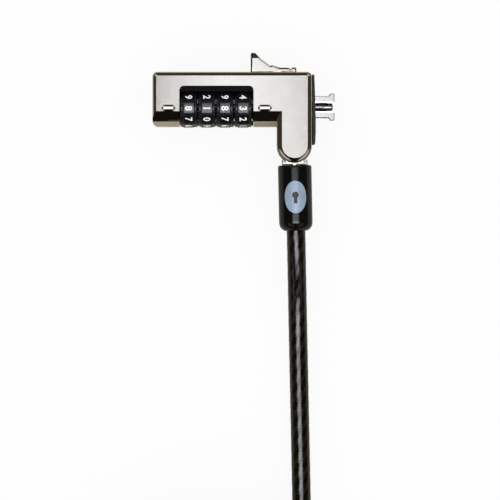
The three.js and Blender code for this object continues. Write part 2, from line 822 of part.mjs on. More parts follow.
function headParts() {
  const group = new THREE.Group();
  group.add(node("housing_front", housingFront(), NICKEL()));
  group.add(node("back_cover", backCover(), NICKEL()));
  SCREW_PLACES.forEach((place, i) => {
    group.add(node(`cover_screw_${i + 1}`, coverScrew(place), STEEL()));
  });
  group.add(node("nose_pad", nosePad(), MATTE_RUBBER()));
  group.add(node("wheel_frame", wheelFrame(), BLACK_PLASTIC()));
  group.add(node("detent_spring", detentSpring(), STEEL()));
  WHEEL_X.forEach((x, i) => {
    group.add(node(`number_wheel_${i + 1}`, numberWheel(x), BLACK_PLASTIC()));
    group.add(node(`clutch_hub_${i + 1}`, clutchHub(x), BRASS()));
  });
  group.add(node("spindle", spindle(), STEEL()));
  group.add(node("carriage", carriage(), STEEL()));
  group.add(node("thumb_lever", thumbLever(), NICKEL()));
  group.add(node("locking_pin", lockingPin(), DARK_STEEL()));
  const springAt = [8.0, WHEEL_AXIS_Z];
  group.add(node("return_spring", helix(-33.3, -6.5, 0.85, 0.15, 10, ...springAt), STEEL()));
  group.add(node("spring_guide", rod("x", 0.5, -33.3, -12.5, [0, ...springAt], 10), STEEL()));
  group.add(node("hook_upper", hook(1), STEEL()));
  group.add(node("hook_lower", hook(-1), STEEL()));
  group.add(node("hook_pin_upper", hookPin(1), STEEL()));
  group.add(node("hook_pin_lower", hookPin(-1), STEEL()));
  group.add(node("reset_screw", resetScrew(), BRASS()));
  return group;
}

function anchorParts() {
  const group = new THREE.Group();
  group.add(node("anchor_block", anchorBlock(), NICKEL()));
  group.add(node("pivot_pin", pivotPin(), STEEL()));
  group.add(node("swivel_stem", swivelStem(), STEEL()));
  group.add(node("cable_sleeve", cableSleeve(), BLACK_PLASTIC()));
  group.add(node("cable_core", cableCore(), STEEL()));
  group.position.set(0, PIVOT_Y, 0);
  group.rotation.z = CABLE_LEAN;
  return group;
}

function cableParts() {
  const group = new THREE.Group();
  group.add(node("cable_run", tube(RUN_POINTS, 12), JACKET()));
  group.add(node("cable_coil", cableCoil(), JACKET()));
  group.add(node("cable_tail", tube(TAIL_POINTS, 12), JACKET()));
  group.add(node("cable_eye", tube(eyePoints(), 22), JACKET()));
  group.add(node("eye_crimp", eyeCrimp(), STEEL()));
  group.add(node("coil_tie", coilTie(), STRAP()));
  return group;
}

const lock = new THREE.Group();
lock.add(headParts());
lock.add(anchorParts());
lock.add(cableParts());

export default lock;
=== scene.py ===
"""Combination laptop cable lock: the looks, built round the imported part."""

import json
import math

import bmesh
import bpy
import numpy as np
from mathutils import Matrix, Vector


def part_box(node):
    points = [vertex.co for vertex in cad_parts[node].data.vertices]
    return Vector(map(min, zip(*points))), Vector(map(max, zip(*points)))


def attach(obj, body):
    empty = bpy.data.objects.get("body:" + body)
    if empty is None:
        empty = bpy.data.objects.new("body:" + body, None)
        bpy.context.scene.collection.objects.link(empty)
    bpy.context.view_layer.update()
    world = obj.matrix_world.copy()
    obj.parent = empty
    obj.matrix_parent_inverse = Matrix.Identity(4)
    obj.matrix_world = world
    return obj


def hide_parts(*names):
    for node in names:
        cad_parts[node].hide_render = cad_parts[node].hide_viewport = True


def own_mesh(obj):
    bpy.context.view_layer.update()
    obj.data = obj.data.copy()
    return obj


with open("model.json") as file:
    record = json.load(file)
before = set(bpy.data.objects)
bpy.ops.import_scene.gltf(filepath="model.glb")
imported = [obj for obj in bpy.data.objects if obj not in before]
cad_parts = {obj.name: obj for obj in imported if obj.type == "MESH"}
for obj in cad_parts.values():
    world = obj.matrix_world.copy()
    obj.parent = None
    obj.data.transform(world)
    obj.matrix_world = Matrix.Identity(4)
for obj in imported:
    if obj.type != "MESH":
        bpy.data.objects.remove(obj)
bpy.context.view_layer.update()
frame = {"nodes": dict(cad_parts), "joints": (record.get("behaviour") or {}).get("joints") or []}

MM = 0.001
NODES = frame["nodes"]
SCENE = bpy.context.scene


def middle(node):
    low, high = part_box(node)
    return (low + high) / 2


# ---- Main dimensions, in metres, from the record and the CAD boxes ----

JOINTS = {j["name"]: j for j in frame["joints"]}
PIVOT = Vector(JOINTS["head_pivot"]["pos_m"])
CABLE_DIRECTION = Vector(JOINTS["cable_swivel"]["axis"])
LEAN = math.atan2(-CABLE_DIRECTION.x, CABLE_DIRECTION.y)
FACE_Z = 12.5 * MM
CABLE_RADIUS = 2.76 * MM
CABLE_AXIS_Z = PIVOT.z


# ---- Meshes ----

def link(name, mesh):
    obj = bpy.data.objects.new(name, mesh)
    SCENE.collection.objects.link(obj)
    return obj


def made(name, verts, faces, material, body, smooth=True):
    """A piece from points in metres, in the part's frame."""
    mesh = bpy.data.meshes.new(name)
    mesh.from_pydata([tuple(v) for v in verts], [], faces)
    mesh.update()
    bm = bmesh.new()
    bm.from_mesh(mesh)
    bmesh.ops.recalc_face_normals(bm, faces=bm.faces)
    bm.to_mesh(mesh)
    bm.free()
    for polygon in mesh.polygons:
        polygon.use_smooth = smooth
    mesh.materials.append(material)
    obj = link(name, mesh)
    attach(obj, body)
    return obj


def grid(rows, columns, closed_rows=False, caps=True):
    """Faces of a surface whose columns close on themselves; its ends are capped or joined."""
    faces = []
    last = rows if closed_rows else rows - 1
    for i in range(last):
        a, b = i * columns, ((i + 1) % rows) * columns
        for j in range(columns):
            k = (j + 1) % columns
            faces.append((a + j, a + k, b + k, b + j))
    if caps and not closed_rows:
        faces.append(tuple(range(columns))[::-1])
        start = (rows - 1) * columns
        faces.append(tuple(range(start, start + columns)))
    return faces


def lathe(profile, sides, place):
    """Rings of a closed profile of (radius, distance) pairs; place puts a point in the frame."""
    verts = []
    for radius, along in profile:
        for i in range(sides):
            angle = 2 * math.pi * i / sides
            verts.append(place(radius * math.cos(angle), radius * math.sin(angle), along))
    return verts


def soften(obj, width, segments=2, angle=32):
    """Rounds the edges of a piece and keeps its flat faces flat."""
    if width:
        bevel = obj.modifiers.new("edges", "BEVEL")
        bevel.width = width
        bevel.segments = segments
        bevel.limit_method = "ANGLE"
        bevel.angle_limit = math.radians(angle)
        bevel.use_clamp_overlap = True
        bevel.miter_outer = "MITER_ARC"
    normals = obj.modifiers.new("normals", "WEIGHTED_NORMAL")
    normals.mode = "FACE_AREA"
    normals.weight = 90
    normals.keep_sharp = False


def on_outline(edge):
    """Whether an edge lies between a face that looks up or down and a side."""
    first, second = (abs(face.normal.z) for face in edge.link_faces)
    return min(first, second) < 0.1 and max(first, second) > 0.5


def refined(node, material, body, width, segments=2, angle=32, chamfer=0):
    """A finer copy of a CAD node: merged flat faces, rounded edges and smooth curves.

    A chamfer is cut along the outline of its front and back first."""
    mesh = NODES[node].data.copy()
    mesh.name = node + "_finish"
    mesh.materials.clear()
    mesh.materials.append(material)
    bm = bmesh.new()
    bm.from_mesh(mesh)
    bmesh.ops.remove_doubles(bm, verts=bm.verts, dist=2e-6)
    bmesh.ops.dissolve_degenerate(bm, edges=bm.edges, dist=1e-6)
    bmesh.ops.dissolve_limit(
        bm, angle_limit=math.radians(0.8), verts=bm.verts, edges=bm.edges
    )
    if chamfer:
        bm.normal_update()
        outline = [e for e in bm.edges if len(e.link_faces) == 2 and on_outline(e)]
        bmesh.ops.bevel(bm, geom=outline, offset=chamfer, segments=1, profile=0.5,
                        affect="EDGES", clamp_overlap=False)
    for face in bm.faces:
        face.smooth = True
        face.material_index = 0
    for edge in bm.edges:
        edge.smooth = True
    bm.to_mesh(mesh)
    bm.free()
    if "custom_normal" in mesh.attributes:
        mesh.attributes.remove(mesh.attributes["custom_normal"])
    obj = link(node + "_finish", mesh)
    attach(obj, body)
    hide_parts(node)
    soften(obj, width, segments, angle)
    return obj


# ---- Materials ----

class Nodes:
    """A material's node tree, with short ways to add and join nodes."""

    def __init__(self, name):
        self.material = bpy.data.materials.new(name)
        self.material.use_nodes = True
        self.tree = self.material.node_tree
        self.shader = self.tree.nodes["Principled BSDF"]
        self.coordinates = self.tree.nodes.new("ShaderNodeTexCoord")

    def add(self, kind, **values):
        node = self.tree.nodes.new(kind)
        for key, value in values.items():
            if key.startswith("in_"):
                node.inputs[key[3:].replace("_", " ")].default_value = value
            else:
                setattr(node, key, value)
        return node

    def join(self, source, target):
        self.tree.links.new(source, target)

    def noise(self, scale, detail=3.0, stretch=(1, 1, 1), coordinate="Object"):
        mapping = self.add("ShaderNodeMapping")
        mapping.inputs["Scale"].default_value = stretch
        self.join(self.coordinates.outputs[coordinate], mapping.inputs["Vector"])
        noise = self.add("ShaderNodeTexNoise", in_Scale=scale, in_Detail=detail)
        self.join(mapping.outputs["Vector"], noise.inputs["Vector"])
        return noise.outputs["Fac"]

    def ranged(self, value, low, high, from_low=0.3, from_high=0.7):
        node = self.add("ShaderNodeMapRange")
        node.inputs["From Min"].default_value = from_low
        node.inputs["From Max"].default_value = from_high
        node.inputs["To Min"].default_value = low
        node.inputs["To Max"].default_value = high
        self.join(value, node.inputs["Value"])
        return node.outputs["Result"]

    def math(self, operation, a, b=None):
        node = self.add("ShaderNodeMath", operation=operation)
        for slot, value in zip(node.inputs, (a, b)):
            if value is None:
                continue
            if isinstance(value, (int, float)):
                slot.default_value = value
            else:
                self.join(value, slot)
        return node.outputs[0]

    def blend_colours(self, factor, first, second):
        node = self.add("ShaderNodeMix", data_type="RGBA")
        colours = [s for s in node.inputs if s.type == "RGBA"]
        colours[0].default_value = (*first, 1)
        colours[1].default_value = (*second, 1)
        self.join(factor, node.inputs["Factor"])
        return [s for s in node.outputs if s.type == "RGBA"][0]

    def bump(self, height, distance, strength=1.0):
        node = self.add("ShaderNodeBump", in_Strength=strength, in_Distance=distance)
        self.join(height, node.inputs["Height"])
        self.join(node.outputs["Normal"], self.shader.inputs["Normal"])


def finish_of(name, colour, metallic, roughness, spread=0.2, scale=900.0, specular=0.5,
              variation=0.06, bump=0.0, stretch=(1, 1, 1), bump_scale=None):
    """A finish whose colour, gloss and fine surface vary a little from place to place."""
    n = Nodes(name)
    n.shader.inputs["Metallic"].default_value = metallic
    n.shader.inputs["Specular IOR Level"].default_value = specular
    fine = n.noise(scale, 4.0, stretch)
    broad = n.noise(scale * 0.12, 2.0)
    rough = n.ranged(fine, roughness * (1 - spread), roughness * (1 + spread))
    n.join(rough, n.shader.inputs["Roughness"])
    dark = tuple(c * (1 - variation) for c in colour)
    light = tuple(min(1.0, c * (1 + variation)) for c in colour)
    n.join(n.blend_colours(n.ranged(broad, 0, 1), dark, light), n.shader.inputs["Base Color"])
    if bump:
        n.bump(n.noise(bump_scale or scale, 3.0, stretch), bump)
    return n.material


NICKEL_COLOUR = (0.45, 0.42, 0.365)
NICKEL = finish_of("nickel_plate", NICKEL_COLOUR, 1.0, 0.055, 0.35, 1600, variation=0.03,
                   bump=0.004 * MM, bump_scale=260)
BRIGHT_STEEL = finish_of("bright_steel", (0.60, 0.57, 0.525), 1.0, 0.05, 0.2, 900, variation=0.02,
                         bump=0.002 * MM, bump_scale=300)
PLAIN_STEEL = finish_of("plain_steel", (0.5, 0.5, 0.5), 1.0, 0.3, 0.3, 1200, bump=0.003 * MM)
# Dark steel has two uses. It is the locking pin's own dark finish. It is also painted shade on the
# spindle, darkened to stand for the dark inside of the housing seen through the gaps between the
# wheels.
BLACK_STEEL_AND_PAINTED_SHADE = finish_of("black_oxide_and_painted_shade", (0.14, 0.135, 0.135), 1.0, 0.16, 0.25, 1500,
                        bump=0.002 * MM, stretch=(0.2, 1, 1))
WHEEL_BLACK = finish_of("wheel_black", (0.005, 0.005, 0.007), 0.0, 0.26, 0.2, 2200, specular=0.3,
                        bump=0.003 * MM)
LINER_BLACK = finish_of("liner_black", (0.003, 0.003, 0.003), 0.0, 0.4, 0.2, 1800, specular=0.02,
                        bump=0.006 * MM)
SLEEVE_BLACK = finish_of("sleeve_black", (0.003, 0.003, 0.003), 0.0, 0.16, 0.25, 1400, specular=0.2,
                         bump=0.006 * MM, bump_scale=500)
PAD_RUBBER = finish_of("pad_rubber", (0.014, 0.0135, 0.013), 0.0, 0.62, 0.15, 2600, specular=0.25,
                       bump=0.02 * MM)
BRASS = finish_of("turned_brass", (0.52, 0.38, 0.17), 1.0, 0.28, 0.25, 1200, bump=0.003 * MM)
# Brass darkened as painted shade. The clutch hubs stand for the dark inside of the housing seen
# through the gaps between the wheels.
BRASS_DARKENED_AS_SHADE = finish_of("brass_painted_shade", (0.09, 0.065, 0.04), 1.0, 0.45, 0.25, 1200, bump=0.003 * MM)
PRINT_WHITE = finish_of("print_white", (0.95, 0.95, 0.96), 0.0, 0.42, 0.2, 3000, variation=0.03,
                        bump=0.002 * MM)
PRINT_BLUE = finish_of("print_blue", (0.27, 0.34, 0.44), 0.0, 0.36, 0.2, 3500, variation=0.12,
                       bump=0.002 * MM)
ALUMINIUM = finish_of("pressed_aluminium", (0.66, 0.66, 0.67), 1.0, 0.3, 0.3, 900,
                      bump=0.006 * MM)


def jacket_material():
    """A clear smoked jacket: twisted strands show through as broken brown streaks."""
    n = Nodes("smoked_jacket")
    uv = n.add("ShaderNodeSeparateXYZ")
    n.join(n.coordinates.outputs["UV"], uv.inputs["Vector"])
    strands = n.math("MULTIPLY", uv.outputs["X"], 16 * math.pi)
    crest = n.math("COSINE", strands)
    along = n.noise(9.0, 3.0, (24, 5.5, 1), "UV")
    broken = n.ranged(along, 0, 1, 0.45, 0.62)
    side = n.ranged(crest, 0, 1, -0.2, 0.9)
    streak = n.math("MULTIPLY", broken, side)
    n.join(n.blend_colours(streak, (0.002, 0.0019, 0.0018), (0.032, 0.018, 0.009)),
           n.shader.inputs["Base Color"])
    n.shader.inputs["Specular IOR Level"].default_value = 0.3
    gloss = n.noise(40, 3.0, (10, 3, 1), "UV")
    n.join(n.ranged(gloss, 0.05, 0.09), n.shader.inputs["Roughness"])
    n.bump(n.noise(30, 2.0, (6, 8, 1), "UV"), 0.02 * MM)
    return n.material


def strap_material():
    """Woven strap: a fine over-and-under weave with a fuzzy sheen."""
    n = Nodes("woven_strap")
    waves = []
    for direction in ("X", "Y"):
        wave = n.add("ShaderNodeTexWave", bands_direction=direction, in_Scale=420.0)
        wave.inputs["Distortion"].default_value = 1.5
        n.join(n.coordinates.outputs["UV"], wave.inputs["Vector"])
        waves.append(wave.outputs["Fac"])
    weave = n.math("MULTIPLY", *waves)
    n.join(n.blend_colours(weave, (0.008, 0.008, 0.009), (0.035, 0.035, 0.038)),
           n.shader.inputs["Base Color"])
    n.shader.inputs["Roughness"].default_value = 0.85
    n.shader.inputs["Sheen Weight"].default_value = 0.4
    n.bump(weave, 0.12 * MM)
    return n.material


JACKET = jacket_material()
STRAP = strap_material()


# ---- Camera, floor and light ----

CAMERA_HEIGHT = 1200 * MM
LOOK_AT = (-12.9 * MM, -41.4 * MM)
VIEW_WIDTH = 145 * MM
SENSOR = 36.0

camera_data = bpy.data.cameras.new("camera")
camera_data.sensor_width = SENSOR
camera_data.lens = SENSOR * CAMERA_HEIGHT / VIEW_WIDTH
camera_data.clip_start = 0.05
camera_data.clip_end = 10
camera = bpy.data.objects.new("camera", camera_data)
camera.location = (*LOOK_AT, FACE_Z + CAMERA_HEIGHT)
SCENE.collection.objects.link(camera)
SCENE.camera = camera
SCENE.view_settings.view_transform = "Standard"


def floor_material():
    """White paper: bright to look at, a warm mid grey in the reflections of the metal."""
    n = Nodes("pale_floor")
    broad = n.noise(6.0, 2.0)
    path = n.add("ShaderNodeLightPath")
    paper = n.blend_colours(n.ranged(broad, 0, 1), (0.90, 0.90, 0.90), (0.92, 0.92, 0.915))
    glossy = n.add("ShaderNodeMix", data_type="RGBA")
    colours = [s for s in glossy.inputs if s.type == "RGBA"]
    colours[1].default_value = (0.74, 0.69, 0.58, 1)
    n.join(paper, colours[0])
    n.join(path.outputs["Is Glossy Ray"], glossy.inputs["Factor"])
    n.join([s for s in glossy.outputs if s.type == "RGBA"][0], n.shader.inputs["Base Color"])
    n.shader.inputs["Roughness"].default_value = 0.9
    n.shader.inputs["Specular IOR Level"].default_value = 0.0
    glow = n.add("ShaderNodeEmission")
    glow.inputs["Color"].default_value = (1, 1, 1, 1)
    glow.inputs["Strength"].default_value = 1.0
    mix = n.add("ShaderNodeMixShader")
    share = n.math("MULTIPLY", path.outputs["Is Camera Ray"], 0.9)
    n.join(share, mix.inputs["Fac"])
    n.join(n.shader.outputs[0], mix.inputs[1])
    n.join(glow.outputs[0], mix.inputs[2])
    n.join(mix.outputs[0], n.tree.nodes["Material Output"].inputs["Surface"])
    return n.material


def add_floor():
    half = 3.0
    drop = 0.25 * MM
    corners = [(-half, -half), (half, -half), (half, half), (-half, half)]
    mesh = bpy.data.meshes.new("floor")
    mesh.from_pydata([(x, y, -drop) for x, y in corners], [], [(0, 1, 2, 3)])
    mesh.materials.append(floor_material())
    floor = link("floor", mesh)


def add_world():
    """A soft dome for diffuse light. Glossy surfaces see two overhead panels and four corner
    lamps in a dim room."""
    world = bpy.data.worlds.new("studio")
    SCENE.world = world
    world.use_nodes = True
    tree = world.node_tree
    tree.nodes.clear()

    def add(kind, **values):
        node = tree.nodes.new(kind)
        for key, value in values.items():
            setattr(node, key, value)
        return node

    def calc(operation, a, b=0.0, c=0.0):
        node = add("ShaderNodeMath", operation=operation)
        for slot, value in zip(node.inputs, (a, b, c)):
            if isinstance(value, (int, float)):
                slot.default_value = value
            else:
                tree.links.new(value, slot)
        return node.outputs[0]

    def ramp(value, low, high):
        node = add("ShaderNodeMapRange", interpolation_type="SMOOTHSTEP")
        node.inputs["From Min"].default_value = low
        node.inputs["From Max"].default_value = high
        tree.links.new(value, node.inputs["Value"])
        return node.outputs["Result"]

    def between(value, low, high, soft):
        rise = ramp(value, low - soft, low + soft)
        fall = ramp(value, high - soft, high + soft)
        return calc("SUBTRACT", rise, fall)

    def coloured(factor, colour):
        node = add("ShaderNodeVectorMath", operation="SCALE")
        node.inputs[0].default_value = colour
        tree.links.new(factor, node.inputs["Scale"])
        return node.outputs[0]

    def summed(a, b):
        node = add("ShaderNodeVectorMath", operation="ADD")
        tree.links.new(a, node.inputs[0])
        tree.links.new(b, node.inputs[1])
        return node.outputs[0]

    coordinates = add("ShaderNodeTexCoord")
    split = add("ShaderNodeSeparateXYZ")
    tree.links.new(coordinates.outputs["Generated"], split.inputs[0])
    x, y, z = split.outputs
    above = ramp(z, 0.0, 0.05)

    # A bright panel overhead, dimmer along its far edge.
    key = calc("MULTIPLY", between(x, -0.34, 0.34, 0.05), between(y, -0.25, 0.010, 0.005))
    key = calc("MULTIPLY", key, above)
    key = calc("MULTIPLY", key, calc("MULTIPLY_ADD", ramp(y, -0.01, -0.05), 0.4, 0.6))

    # A weaker panel beyond it, brightest along its middle.
    panel = calc("MULTIPLY", between(x, -0.30, 0.30, 0.16), between(y, 0.016, 0.53, 0.008))
    panel = calc("MULTIPLY", panel, above)
    left = ramp(x, -0.028, -0.008)
    right = ramp(x, 0.026, -0.002)
    shade = calc("MULTIPLY", calc("MULTIPLY_ADD", left, 0.59, 0.41),
                 calc("MULTIPLY_ADD", right, 0.52, 0.48))
    panel = calc("MULTIPLY", panel, shade)

    # The room is warm and dim, and nearly black in front.
    front = calc("MULTIPLY", between(x, -0.5, 0.5, 0.1), ramp(y, -0.2, -0.35))
    room = calc("SUBTRACT", 1.0, calc("MULTIPLY", front, 0.85))

    # Lamps half way up its four corners.
    slant = calc("ABSOLUTE", calc("MULTIPLY", x, y))
    corners = calc("MULTIPLY", ramp(slant, 0.10, 0.22), between(z, 0.47, 0.80, 0.03))

    studio = summed(coloured(key, (13.0, 13.2, 13.8)), coloured(panel, (1.92, 2.04, 2.34)))
    studio = summed(studio, coloured(room, (0.080, 0.062, 0.048)))
    studio = summed(studio, coloured(corners, (0.86, 0.84, 0.80)))

    glossy = add("ShaderNodeBackground")
    tree.links.new(studio, glossy.inputs["Color"])
    plain = add("ShaderNodeBackground")
    plain.inputs["Color"].default_value = (1.0, 1.0, 1.0, 1)
    plain.inputs["Strength"].default_value = 1.02
    path = add("ShaderNodeLightPath")
    mix = add("ShaderNodeMixShader")
    tree.links.new(path.outputs["Is Glossy Ray"], mix.inputs["Fac"])
    tree.links.new(plain.outputs[0], mix.inputs[1])
    tree.links.new(glossy.outputs[0], mix.inputs[2])
    output = add("ShaderNodeOutputWorld")
    tree.links.new(mix.outputs[0], output.inputs["Surface"])


add_floor()
add_world()


# ---- Cable ----

STRANDS = 8
COLUMNS = 4 * STRANDS
LAY = 37.0
RIDGE = 0.022
CX, CY = -29.5, -153.6
TOP_TURN_Z = 20.3
CRIMP_START = CX - 9.9
CRIMP_LENGTH = 12.0
CRIMP_Y = CY + 19.0


def along_anchor(distance, z):
    return (
        distance * math.sin(LEAN),
        PIVOT.y / MM - distance * math.cos(LEAN),
        z,
    )


RUN_POINTS = [
    along_anchor(distance, z)
    for distance, z in (
        (19.5, 6.1), (24.4, 6.1), (29, 6.0), (36, 5.2), (45, 3.7), (54, 2.9), (66, 2.8),
        (80, 2.8), (92, 2.8), (103, 2.8), (113, 3.1), (122.5, 3.5), (132, 3.5),
    )
]
EYE_HALF = [
    (-5.0, 3.0), (0.3, 3.0), (2.4, 3.1), (5.2, 4.4), (9.5, 7.6), (14.5, 11.0), (20.0, 12.8),
    (26.0, 11.6), (31.0, 7.2),
]


def stepped(t):
    """Goes from 0 to 1 with an even bend."""
    t = min(1.0, max(0.0, t))
    return 2 * t * t if t < 0.5 else 1 - 2 * (1 - t) ** 2


def coil_points():
    """Eight turns in three layers. Each steps sideways or up just before the turn below it does,
    so that no two meet."""
    radii = [32.2, 26.8, 21.4, 21.4, 26.8, 32.2, 32.2, 26.8, 21.4]
    heights = [3.5, 3.5, 3.5, 8.9, 8.9, 8.9, 14.3, 14.3, 14.3]
    starts = [250, 250, 220, 190, 190, 160, 130, 130]
    stretch = 110
    per_turn = 24
    points = []
    for turn, start in enumerate(starts):
        for step in range(per_turn):
            angle = 360.0 * step / per_turn
            t = stepped((angle - start) / stretch)
            r = radii[turn] + (radii[turn + 1] - radii[turn]) * t
            z = heights[turn] + (heights[turn + 1] - heights[turn]) * t
            a = math.radians(-angle)
            points.append((CX + r * math.cos(a), CY + r * math.sin(a), z))
    return points


def tail_points():
    """The climb on to the coil, straight on, and round a nearer centre to the crimp."""
    arcs = [((0.0, 0.0), 21.5, 0, -103), ((-11.2, 1.5), 20.5, -103, -270)]
    low, climb_from, climb_to = 14.3, -10, -110
    points = []
    for (x, y), radius, first, last in arcs:
        count = round((first - last) / 15)
        for i in range(count + 1):
            degrees = first + (last - first) * i / count
            a = math.radians(degrees)
            px = CX + x + radius * math.cos(a)
            py = CY + y + radius * math.sin(a)
            climb = stepped((degrees - climb_from) / (climb_to - climb_from))
            points.append((px, py, low + (TOP_TURN_Z - low) * climb))
    points.append((CX - 6.5, CY + 22.0, TOP_TURN_Z))
    return points


def eye_points():
    start = CRIMP_START + CRIMP_LENGTH
    back = [(u, -v) for u, v in reversed(EYE_HALF)]
    route = [*EYE_HALF, (33.2, 0.0), *back]
    return [(start + u, CRIMP_Y + v, TOP_TURN_Z) for u, v in route]


def centreline(points, spacing):
    """A smooth line through the points, with its own points evenly spaced."""
    p = np.array(points, float)
    p = np.vstack([2 * p[0] - p[1], p, 2 * p[-1] - p[-2]])
    dense = []
    for i in range(1, len(p) - 2):
        p0, p1, p2, p3 = p[i - 1 : i + 3]
        t0 = 0.0
        t1 = t0 + np.linalg.norm(p1 - p0) ** 0.5
        t2 = t1 + np.linalg.norm(p2 - p1) ** 0.5
        t3 = t2 + np.linalg.norm(p3 - p2) ** 0.5
        for t in np.linspace(t1, t2, 20, endpoint=False):
            a1 = (t1 - t) / (t1 - t0) * p0 + (t - t0) / (t1 - t0) * p1
            a2 = (t2 - t) / (t2 - t1) * p1 + (t - t1) / (t2 - t1) * p2
            a3 = (t3 - t) / (t3 - t2) * p2 + (t - t2) / (t3 - t2) * p3
            b1 = (t2 - t) / (t2 - t0) * a1 + (t - t0) / (t2 - t0) * a2
            b2 = (t3 - t) / (t3 - t1) * a2 + (t - t1) / (t3 - t1) * a3
            dense.append((t2 - t) / (t2 - t1) * b1 + (t - t1) / (t2 - t1) * b2)
    dense.append(p[-2])
    dense = np.array(dense)
    steps = np.linalg.norm(np.diff(dense, axis=0), axis=1)
    length = np.concatenate([[0], np.cumsum(steps)])
    count = max(2, int(round(length[-1] / spacing)) + 1)
    wanted = np.linspace(0, length[-1], count)
    line = np.stack([np.interp(wanted, length, dense[:, k]) for k in range(3)], axis=1)
    return line, length[-1]


def stranded_tube(name, line, length, body):
    """A tube whose strands stand out a little and wind round it once in each lay."""
    rows = len(line)
    tangents = np.gradient(line, axis=0)
    tangents /= np.linalg.norm(tangents, axis=1)[:, None]
    normal = np.array([0.0, 0.0, 1.0])
    verts = []
    for i in range(rows):
        t = tangents[i]
        normal = normal - t * np.dot(normal, t)
        normal /= np.linalg.norm(normal)
        binormal = np.cross(t, normal)
        s = length * i / (rows - 1)
        twist = 2 * math.pi * s / LAY
        for j in range(COLUMNS):
            a = 2 * math.pi * j / COLUMNS
            radius = CABLE_RADIUS / MM - RIDGE + RIDGE * math.cos(STRANDS * a)
            around = math.cos(a + twist) * normal + math.sin(a + twist) * binormal
            verts.append((line[i] + radius * around) * MM)
    obj = made(name, verts, grid(rows, COLUMNS), JACKET, body)
    uv = obj.data.uv_layers.new(name="lay")
    for polygon in obj.data.polygons:
        columns = [obj.data.loops[k].vertex_index % COLUMNS for k in polygon.loop_indices]
        wraps = max(columns) - min(columns) > COLUMNS / 2
        for k, column in zip(polygon.loop_indices, columns):
            row = obj.data.loops[k].vertex_index // COLUMNS
            u = (column + COLUMNS if wraps and column == 0 else column) / COLUMNS
            uv.data[k].uv = (u, row / (rows - 1) * length / 100.0)
    return obj


RUN_TO_CRIMP = [*RUN_POINTS, *coil_points(), *tail_points()]
CABLE_LINE, CABLE_LENGTH = centreline(RUN_TO_CRIMP, 1.5)
cable = stranded_tube("cable", CABLE_LINE, CABLE_LENGTH, "cable")
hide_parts("cable_run", "cable_coil", "cable_tail")
EYE_LINE, EYE_LENGTH = centreline(eye_points(), 1.2)
cable_loop = stranded_tube("cable_loop", EYE_LINE, EYE_LENGTH, "cable")
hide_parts("cable_eye")


def eye_crimp():
    """An oval aluminium sleeve, pressed flat in three places over the two cable legs."""
    half = 3.1
    reach = 3.0
    around = 40
    rows = 49
    length = CRIMP_LENGTH - 0.3
    edge_depth = 0.35
    edge_length = 0.5
    press_width = 0.75
    presses = (2.9, 5.85, 8.8)
    verts = []
    for i in range(rows):
        u = i / (rows - 1)
        x = CRIMP_START + length * u
        end = min(u, 1 - u) * length
        near_end = max(0.0, 1 - end / edge_length)
        rounding = edge_depth * (1 - math.sqrt(max(0.0, 1 - near_end**2)))
        press = sum(math.exp(-(((x - CRIMP_START - c) / press_width) ** 2)) for c in presses)
        radius = half - rounding - 0.38 * press
        for j in range(around):
            a = 2 * math.pi * (j + 0.5) / around
            side = math.copysign(reach, math.cos(a))
            y = CRIMP_Y + side + (half - rounding - 0.1 * press) * math.cos(a)
            z = TOP_TURN_Z + radius * math.sin(a)
            verts.append((x * MM, y * MM, z * MM))
    obj = made("eye_crimp_finish", verts, grid(rows, around), ALUMINIUM, "cable")
    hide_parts("eye_crimp")
    soften(obj, 0)
    return obj


def strap_loop(inset):
    """A line of the strap in a plane through the coil's axis, as (radius, height)."""
    slack = 1.3
    inner = 18.7 - slack
    outer = 34.9 + slack
    bottom = 0.35
    shoulder = 17.2
    top = 23.6
    cut = 2.2
    corners = [
        (inner, bottom), (outer, bottom), (outer, shoulder), (34.1, top), (23.7, top),
        (inner, shoulder),
    ]
    points = []
    count = len(corners)
    for i, corner in enumerate(corners):
        before = np.array(corners[i - 1], float)
        at = np.array(corner, float)
        after = np.array(corners[(i + 1) % count], float)
        a = at + (before - at) / np.linalg.norm(before - at) * cut
        b = at + (after - at) / np.linalg.norm(after - at) * cut
        for k in range(6):
            t = k / 5
            points.append((1 - t) ** 2 * a + 2 * t * (1 - t) * at + t**2 * b)
    line = np.array(points)
    tangent = np.roll(line, -1, axis=0) - np.roll(line, 1, axis=0)
    tangent /= np.linalg.norm(tangent, axis=1)[:, None]
    outward = np.stack([tangent[:, 1], -tangent[:, 0]], axis=1)
    return line + outward * inset


def coil_strap():
    """A woven strap round the bundle, with slightly rounded edges."""
    half = 4.5
    flat = 4.4
    thick = 0.33
    section = [
        (-flat, thick), (-half, 0.0), (-flat, -thick), (flat, -thick), (half, 0.0), (flat, thick),
    ]
    turn = math.radians(-150)
    verts = []
    loops = [strap_loop(inset) for _, inset in section]
    rows = len(loops[0])
    for i in range(rows):
        for (across, _), loop in zip(section, loops):
            r, z = loop[i]
            x = CX + r * math.cos(turn) - across * math.sin(turn)
            y = CY + r * math.sin(turn) + across * math.cos(turn)
            verts.append((x * MM, y * MM, z * MM))
    faces = grid(rows, len(section), closed_rows=True)
    obj = made("coil_strap", verts, faces, STRAP, "cable")
    uv = obj.data.uv_layers.new(name="weave")
    for polygon in obj.data.polygons:
        for k in polygon.loop_indices:
            index = obj.data.loops[k].vertex_index
            row, column = divmod(index, len(section))
            uv.data[k].uv = (row * 0.004, section[column][0] * 0.001)
    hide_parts("coil_tie")
    soften(obj, 0)
    return obj


crimp = eye_crimp()
strap = coil_strap()

# ---- Metal, rubber and plastic pieces on the CAD nodes ----

